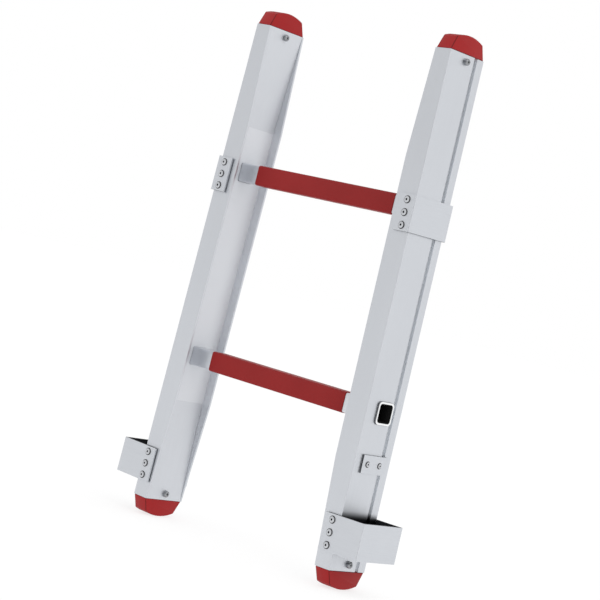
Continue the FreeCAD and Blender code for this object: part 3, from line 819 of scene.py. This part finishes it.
# %% [markdown]
# ### The four caps
# One block and one set of ribs serve both caps of a stile: the lower cap is turned over. The
# upright corners and the edge at the stile take the deeper red, as thin lines of shade.

# %% The four caps
FOOT_EDGE = 1.0 * MM
CORNER_SHARE = 0.2


def on_cap_edge(face):
    """Whether a face of a cap, still upright, is on an upright corner or the foot's edge."""
    upright_corner = abs(face.normal.x) > CORNER_SHARE and abs(face.normal.y) > CORNER_SHARE
    foot_edge = -FACING < face.normal.z < -CORNER_SHARE and face.center.z < FOOT_EDGE
    return upright_corner or foot_edge


RIB_COUNT = 21
RIB_RADIUS = 0.55 * MM
RIB_PROUD = 0.3 * MM
RIB_MARGIN = 1.4 * MM
RIB_LENGTH = CAP_TIP_REACH - CAP_OUTER - 1.0 * MM
RIB_ARC = 2 * math.asin((half - RIB_MARGIN) / CROWN_RADIUS)

for side_name, side in SIDES.items():
    ribs = grow(rib_tree, ribs=RIB_COUNT, arc_angle=RIB_ARC,
                crown_radius=CROWN_RADIUS - RIB_RADIUS + RIB_PROUD,
                crown_centre=CROWN_TOP - CROWN_RADIUS,
                middle=-side * (CAP_OUTER + CAP_TIP_REACH) / 2,
                rib_length=RIB_LENGTH, rib_radius=RIB_RADIUS, finish=finishes["cap"])
    for end_name, turned_over, lift in (("lower", math.pi, 0), ("upper", 0, STILE_LENGTH)):
        node = f"end_cap_{end_name}_{side_name}"
        mesh = joined([cap_body(-side), ribs], node + "_moulded")
        numbers = [int(on_cap_edge(face)) for face in mesh.polygons]
        mesh.polygons.foreach_set("material_index", numbers)
        turn = Matrix.Translation((0, 0, lift)) @ Matrix.Rotation(turned_over, 4, "X")
        place(smooth(mesh), node + "_moulded", [finishes["cap"], finishes["cap_edge"]],
              "cap_plastic", [node], stile_frame(side) @ turn)
        print(f"{node}: {len(numbers)} faces, {RIB_COUNT} ribs")

# %% [markdown]
# ## Fasteners
# Rivets and screws are turned parts, so each is a profile spun round its own axis. A pulled
# rivet has a hole with the broken end of its mandrel inside. The mandrel's end is dark steel,
# and the hole's walls and the head's rim are painted with the same dark steel: painted shade,
# where the rim stands in its own shade. The head sits on Z = 0 and the shank points down.
# Profiles are (radius, height) pairs in millimetres.

# %% Turned shapes
TURN_STEPS = 28


def turned(profile, name, bands=()):
    """Spin a profile round Z; each row of bands gives a finish number, a first and a last band."""
    shape = bmesh.new()
    rings = []
    for radius, z in profile:
        steps = TURN_STEPS if radius else 1
        angles = [math.tau * step / steps for step in range(steps)]
        rings.append([shape.verts.new((radius * MM * math.cos(angle), radius * MM * math.sin(angle),
                                       z * MM)) for angle in angles])
    for band, (ring, after) in enumerate(zip(rings, rings[1:])):
        for step in range(TURN_STEPS):
            around = (step + 1) % TURN_STEPS
            corners = [ring[step % len(ring)], ring[around % len(ring)],
                       after[around % len(after)], after[step % len(after)]]
            face = shape.faces.new(list(dict.fromkeys(corners)))
            face.material_index = finish_of(band, bands)
    return mesh_of(shape, name)


RIVET_PROFILE = [(0, 0.55), (0.55, 0.5), (1.0, 0.2), (1.15, -0.4), (1.4, -0.5), (1.45, 1.7),
                 (1.6, 1.95), (1.85, 2.07), (2.6, 2.0), (3.5, 1.76), (4.4, 1.26), (5.05, 0.75),
                 (5.4, 0.42), (5.5, 0.2), (5.45, 0.02), (5.2, 0), (2.4, 0), (2.4, -6.8),
                 (3.5, -7.0), (3.6, -8.6), (3.0, -9.6), (0, -9.8)]
STOP_RIVET_PROFILE = [(0, 0.4), (0.5, 0.35), (0.9, 0.1), (1.0, -0.3), (1.15, -0.4), (1.2, 1.25),
                      (1.35, 1.45), (1.6, 1.58), (2.4, 1.45), (3.3, 1.05), (4.0, 0.55),
                      (4.3, 0.28), (4.4, 0.12), (4.3, 0), (2.0, 0), (2.0, -4.5), (2.0, -7.0),
                      (0, -7.5)]
# The second finish, dark steel, is the mandrel's end and painted shade on hole walls, rivet rims
# and screw recesses.
FASTENER_FINISHES = {"rivet": ("rivet", "mandrel_and_shade"), "stop_rivet": ("rivet", "mandrel_and_shade"),
                     "screw": ("screw", "mandrel_and_shade")}
rivet_mesh = smooth(turned(RIVET_PROFILE, "bracket_rivet", [(1, 0, 4), (1, 10, 14)]))
stop_rivet_mesh = smooth(turned(STOP_RIVET_PROFILE, "stop_rivet", [(1, 0, 4), (1, 9, 12)]))
print("rivet faces:", len(rivet_mesh.polygons), len(stop_rivet_mesh.polygons))

# %% [markdown]
# A screw head is a deep round cap with a cross recess. Two crossed blades, narrower at the
# bottom, cut the recess with a boolean, and the faces they leave are painted dark, painted shade.

# %% The cross-recess screw
SCREW_PROFILE = [(0, 5.0), (2.4, 4.95), (3.4, 4.8), (4.1, 4.4), (4.55, 3.8), (4.75, 3.1),
                 (4.8, 2.4), (4.8, 0.5), (4.7, 0.1), (4.4, 0), (2.4, 0), (2.4, -10.8),
                 (1.6, -12), (0, -12)]
RECESS_LENGTH = 5.4 * MM
RECESS_WIDTH = 1.15 * MM
RECESS_FLOOR = 3.0 * MM
BLADE_TOP = 6.0 * MM
LENGTH_TAPER = 0.45
WIDTH_TAPER = 0.7
RECESS_FACES = (2.8 * MM, 4.7 * MM)
RECESS_SPREAD = 0.55 * RECESS_LENGTH


def cross_cutter():
    """Two crossed tapered blades that cut a screw's recess."""
    shape = bmesh.new()
    for turn in (0, math.pi / 2):
        blade = bmesh.ops.create_cube(shape, size=1.0)["verts"]
        for vertex in blade:
            low = vertex.co.z < 0
            vertex.co.x *= RECESS_LENGTH * (LENGTH_TAPER if low else 1.0)
            vertex.co.y *= RECESS_WIDTH * (WIDTH_TAPER if low else 1.0)
            vertex.co.z = RECESS_FLOOR if low else BLADE_TOP
        bmesh.ops.rotate(shape, verts=blade, cent=(0, 0, 0), matrix=Matrix.Rotation(turn, 3, "Z"))
    bmesh.ops.recalc_face_normals(shape, faces=shape.faces)
    mesh = bpy.data.meshes.new("cross_cutter")
    shape.to_mesh(mesh)
    shape.free()
    return mesh


cutter = helper("cross_cutter", cross_cutter())
blank = helper("screw_blank", turned(SCREW_PROFILE, "screw_blank"))
recess = blank.modifiers.new("recess", "BOOLEAN")
recess.object = cutter
recess.operation = "DIFFERENCE"
recess.solver = "EXACT"
recess.use_self = True
screw_mesh = smooth(settled(blank))
screw_mesh.materials.clear()
# Faces in the recess take number 1, the dark steel, as painted shade.
for face in screw_mesh.polygons:
    in_recess = (RECESS_FACES[0] < face.center.z < RECESS_FACES[1]
                 and face.center.xy.length < RECESS_SPREAD)
    face.material_index = int(in_recess)
bpy.data.objects.remove(cutter)
print("screw faces:", len(screw_mesh.polygons))

# %% [markdown]
# ## Setting the fasteners
# Fasteners sit in rows: the tree takes a row's start, its step and the way its heads face,
# and sets one copy at each point with a turn of its own from a fixed seed, because nobody
# lines up rivets by hand. The same tree serves rivets and screws. It sets the main finish
# only on the faces that have number 0, so the holes, rims and recesses keep their dark finish,
# painted shade.

# %% Geometry Nodes: a row of fasteners
def make_row_tree():
    """Copies of one fastener along a row, all facing one way."""
    tree, given = tree_with_inputs("fastener_row", {
        "Fastener": "NodeSocketObject", "Count": "NodeSocketInt", "Start": "NodeSocketVector",
        "Step": "NodeSocketVector", "Facing": "NodeSocketVector", "Seed": "NodeSocketInt",
        "Finish": "NodeSocketMaterial"})
    row = tree.nodes.new("GeometryNodeMeshLine")
    for label, socket in (("Count", "Count"), ("Start", "Start Location"), ("Step", "Offset")):
        tree.links.new(given.outputs[label], row.inputs[socket])
    source = tree.nodes.new("GeometryNodeObjectInfo")
    tree.links.new(given.outputs["Fastener"], source.inputs["Object"])
    spin = tree.nodes.new("FunctionNodeRandomValue")
    spin.data_type = "FLOAT"
    spin.inputs[3].default_value = math.tau
    tree.links.new(given.outputs["Seed"], spin.inputs["Seed"])
    align = tree.nodes.new("FunctionNodeAlignRotationToVector")
    align.axis = "Z"
    tree.links.new(given.outputs["Facing"], align.inputs["Vector"])
    turn = tree.nodes.new("FunctionNodeRotateRotation")
    turn.rotation_space = "LOCAL"
    tree.links.new(align.outputs[0], turn.inputs["Rotation"])
    own = tree.nodes.new("FunctionNodeEulerToRotation")
    tree.links.new(combined(tree, 0.0, 0.0, spin.outputs[1]), own.inputs[0])
    tree.links.new(own.outputs[0], turn.inputs["Rotate By"])
    copies = tree.nodes.new("GeometryNodeInstanceOnPoints")
    tree.links.new(row.outputs[0], copies.inputs["Points"])
    tree.links.new(source.outputs["Geometry"], copies.inputs["Instance"])
    tree.links.new(turn.outputs[0], copies.inputs["Rotation"])
    number = tree.nodes.new("GeometryNodeInputMaterialIndex").outputs[0]
    is_main = math_node(tree, "LESS_THAN", number, 0.5)
    end_tree(tree, copies.outputs[0], given.outputs["Finish"], is_main)
    return tree


row_tree = make_row_tree()
makers = {}
for fastener, mesh in (("rivet", rivet_mesh), ("stop_rivet", stop_rivet_mesh),
                       ("screw", screw_mesh)):
    for finish in FASTENER_FINISHES[fastener]:
        mesh.materials.append(finishes[finish])
    makers[fastener] = helper(fastener + "_maker", mesh)
    makers[fastener].hide_render = True
print("row tree nodes:", len(row_tree.nodes))

# %% [markdown]
# Each bracket has a row of three rivets in front and the same behind. The stop plate has two.
# Each stile end has one screw in the outer face and one in the ramp.

# %% Rows on each stile
RIVET_REACH = 11 * MM
RIVET_PITCH = 17.5 * MM
BRACKET_FACE = HALF_DEPTH + 4 * MM
BRACKET_LEVELS = {"guide_strap": 489.3 * MM, "pocket_bracket": 49 * MM}
STOP_LEVEL = 148 * MM
STOP_FACE = 2.5 * MM
STOP_RIVET_START = -11.7 * MM
STOP_RIVET_PITCH = 25 * MM
SCREW_LEVEL = 9.5 * MM
RAMP_SEAT = 26.6 * MM
RAMP_SEED = 40


def row_of(fastener, count, start, step, facing, seed):
    """One row of fasteners as a mesh, in the stile's own frame."""
    return grow(row_tree, fastener=makers[fastener], count=count, start=start, step=step,
                facing=facing, seed=seed, finish=finishes[FASTENER_FINISHES[fastener][0]])


def set_rows(node, fastener, rows, slot, side):
    """Place a node's rows of one fastener as a single piece."""
    mesh = smooth(joined(rows, node + "_set"))
    place(mesh, node + "_set", [finishes[name] for name in FASTENER_FINISHES[fastener]],
          slot, [node], stile_frame(side))
    print(f"{node}: {len(mesh.polygons)} faces")


seed = 0
for side_name, side in SIDES.items():
    for kind, level in BRACKET_LEVELS.items():
        rows = []
        for face in (-1, 1):
            seed += 1
            start = (-side * RIVET_REACH, face * BRACKET_FACE, level - RIVET_PITCH)
            rows.append(row_of("rivet", 3, start, (0, 0, RIVET_PITCH), (0, face, 0), seed))
        set_rows(f"{kind}_rivets_{side_name}", "rivet", rows, "rivet_aluminium", side)
    seed += 1
    row = row_of("stop_rivet", 2, (side * STOP_FACE, STOP_RIVET_START, STOP_LEVEL),
                 (0, STOP_RIVET_PITCH, 0), (side, 0, 0), seed)
    set_rows(f"stop_plate_rivets_{side_name}", "stop_rivet", [row], "rivet_aluminium", side)
    for end_name, level in (("lower", SCREW_LEVEL), ("upper", STILE_LENGTH - SCREW_LEVEL)):
        seed += 1
        outer = row_of("screw", 1, (0, 0, level), (0, 0, 0), (side, 0, 0), seed)
        inner = row_of("screw", 1, (-side * RAMP_SEAT, 0, level), (0, 0, 0), (-side, 0, 0),
                       seed + RAMP_SEED)
        set_rows(f"cap_screws_{end_name}_{side_name}", "screw", [outer, inner], "screw_steel", side)
for maker in makers.values():
    bpy.data.objects.remove(maker)
print("fastener rows set on both stiles")

# %% [markdown]
# ## Floor and light
# A plain pale floor and an even white room suit bright metal: it mirrors what is around it,
# so a calm room gives calm greys. The floor glows a little, so it stays pale under the
# ladder and its shade is soft. One large soft light adds shape.

# %% Floor
FLOOR_SIZE = 30.0
FLOOR_GREY = 0.25
FLOOR_GLOW = 0.76


def glowing(name, grey, rough, glow, strength):
    """A matt grey surface that also gives off light of its own."""
    material, nodes, links, shader = new_material(name)
    shader.inputs["Base Color"].default_value = (grey, grey, grey, 1)
    shader.inputs["Roughness"].default_value = rough
    shader.inputs["Specular IOR Level"].default_value = 0.0
    shader.inputs["Emission Color"].default_value = (glow, glow, glow, 1)
    shader.inputs["Emission Strength"].default_value = strength
    return material


floor_shape = bmesh.new()
bmesh.ops.create_grid(floor_shape, x_segments=4, y_segments=4, size=FLOOR_SIZE / 2)
floor = helper("floor", mesh_of(floor_shape, "floor"))
floor.data.materials.append(glowing("pale_floor", FLOOR_GREY, 0.9, 1, FLOOR_GLOW))
print("floor:", FLOOR_SIZE, "m across")

# %% Room
world = bpy.data.worlds.new("even_room")
bpy.context.scene.world = world
world.use_nodes = True
background = world.node_tree.nodes["Background"]
background.inputs["Color"].default_value = (1, 1, 1, 1)
background.inputs["Strength"].default_value = 1.0
print("room: the same white all round")

# %% [markdown]
# Two cards stand far out and only show in reflections. The grey one, in front on the left,
# tones down the stiles' front faces. The dark one, out to the right, gives edges, domes and
# screw heads their dark side. A card's place is an azimuth in degrees and a distance in
# metres, and it starts below the floor.

# %% Cards
CARD_SINK = 1.0


def card(name, azimuth, distance, width, height, grey):
    """A plain card around the ladder that only glossy surfaces see."""
    shape = bmesh.new()
    bmesh.ops.create_grid(shape, x_segments=2, y_segments=2, size=0.5)
    mesh = mesh_of(shape, name)
    angle = math.radians(azimuth)
    middle = (distance * math.sin(angle), -distance * math.cos(angle), height / 2 - CARD_SINK)
    mesh.transform(Matrix.Translation(middle) @ Matrix.Rotation(angle, 4, "Z")
                   @ Matrix.Rotation(math.pi / 2, 4, "X") @ Matrix.Diagonal((width, height, 1, 1)))
    mesh.materials.append(glowing(name, 0, 1.0, grey, 1.0))
    sheet = helper(name, mesh)
    sheet.visible_camera = False
    sheet.visible_shadow = False
    sheet.visible_diffuse = False


card("grey_card", -43, distance=5.0, width=8.0, height=8.0, grey=0.80)
card("dark_card", 43, distance=4.6, width=2.6, height=6.0, grey=0.10)
print("two cards out of sight")

# %% [markdown]
# The key light is a wide disk, high on the right, aimed at the middle of the ladder.

# %% Soft key light
KEY_PLACE = Vector((2.6, -0.6, 3.4))
KEY_AIM = Vector((0, 0, 0.4))
key = bpy.data.objects.new("soft_key", bpy.data.lights.new("soft_key", "AREA"))
key.data.shape = "DISK"
key.data.size = 2.4
key.data.energy = 18
key.location = KEY_PLACE
key.rotation_euler = (KEY_AIM - KEY_PLACE).to_track_quat("-Z", "Y").to_euler()
bpy.context.scene.collection.objects.link(key)
print("floor, room and key light are set")

# %% [markdown]
# ## Camera
# The camera stands to the right of the front, nearly level with the middle of the ladder, far
# back with a long lens. It is rolled, so the ladder leans to the right in the view.

# %% Camera
AZIMUTH = math.radians(42.946)
ELEVATION = math.radians(0.99)
ROLL = math.radians(13.999)
DISTANCE = 2.69816
TARGET = Vector((0.01602, -0.02159, 0.36514))
LENS = 115.21

back = Vector((math.sin(AZIMUTH) * math.cos(ELEVATION), -math.cos(AZIMUTH) * math.cos(ELEVATION),
               math.sin(ELEVATION)))
right = Vector((math.cos(AZIMUTH), math.sin(AZIMUTH), 0))
up = back.cross(right)
rolled_right = math.cos(ROLL) * right + math.sin(ROLL) * up
rolled_up = math.cos(ROLL) * up - math.sin(ROLL) * right
camera = bpy.data.objects.new("camera", bpy.data.cameras.new("camera"))
bpy.context.scene.collection.objects.link(camera)
camera.data.lens = LENS
camera.data.clip_start = 0.01
camera.data.clip_end = 100
pose = Matrix((rolled_right, rolled_up, back)).transposed().to_4x4()
camera.matrix_world = Matrix.Translation(TARGET + DISTANCE * back) @ pose
bpy.context.scene.camera = camera
bpy.context.scene.view_settings.view_transform = "Standard"
print("camera at", tuple(round(value, 3) for value in camera.matrix_world.translation))
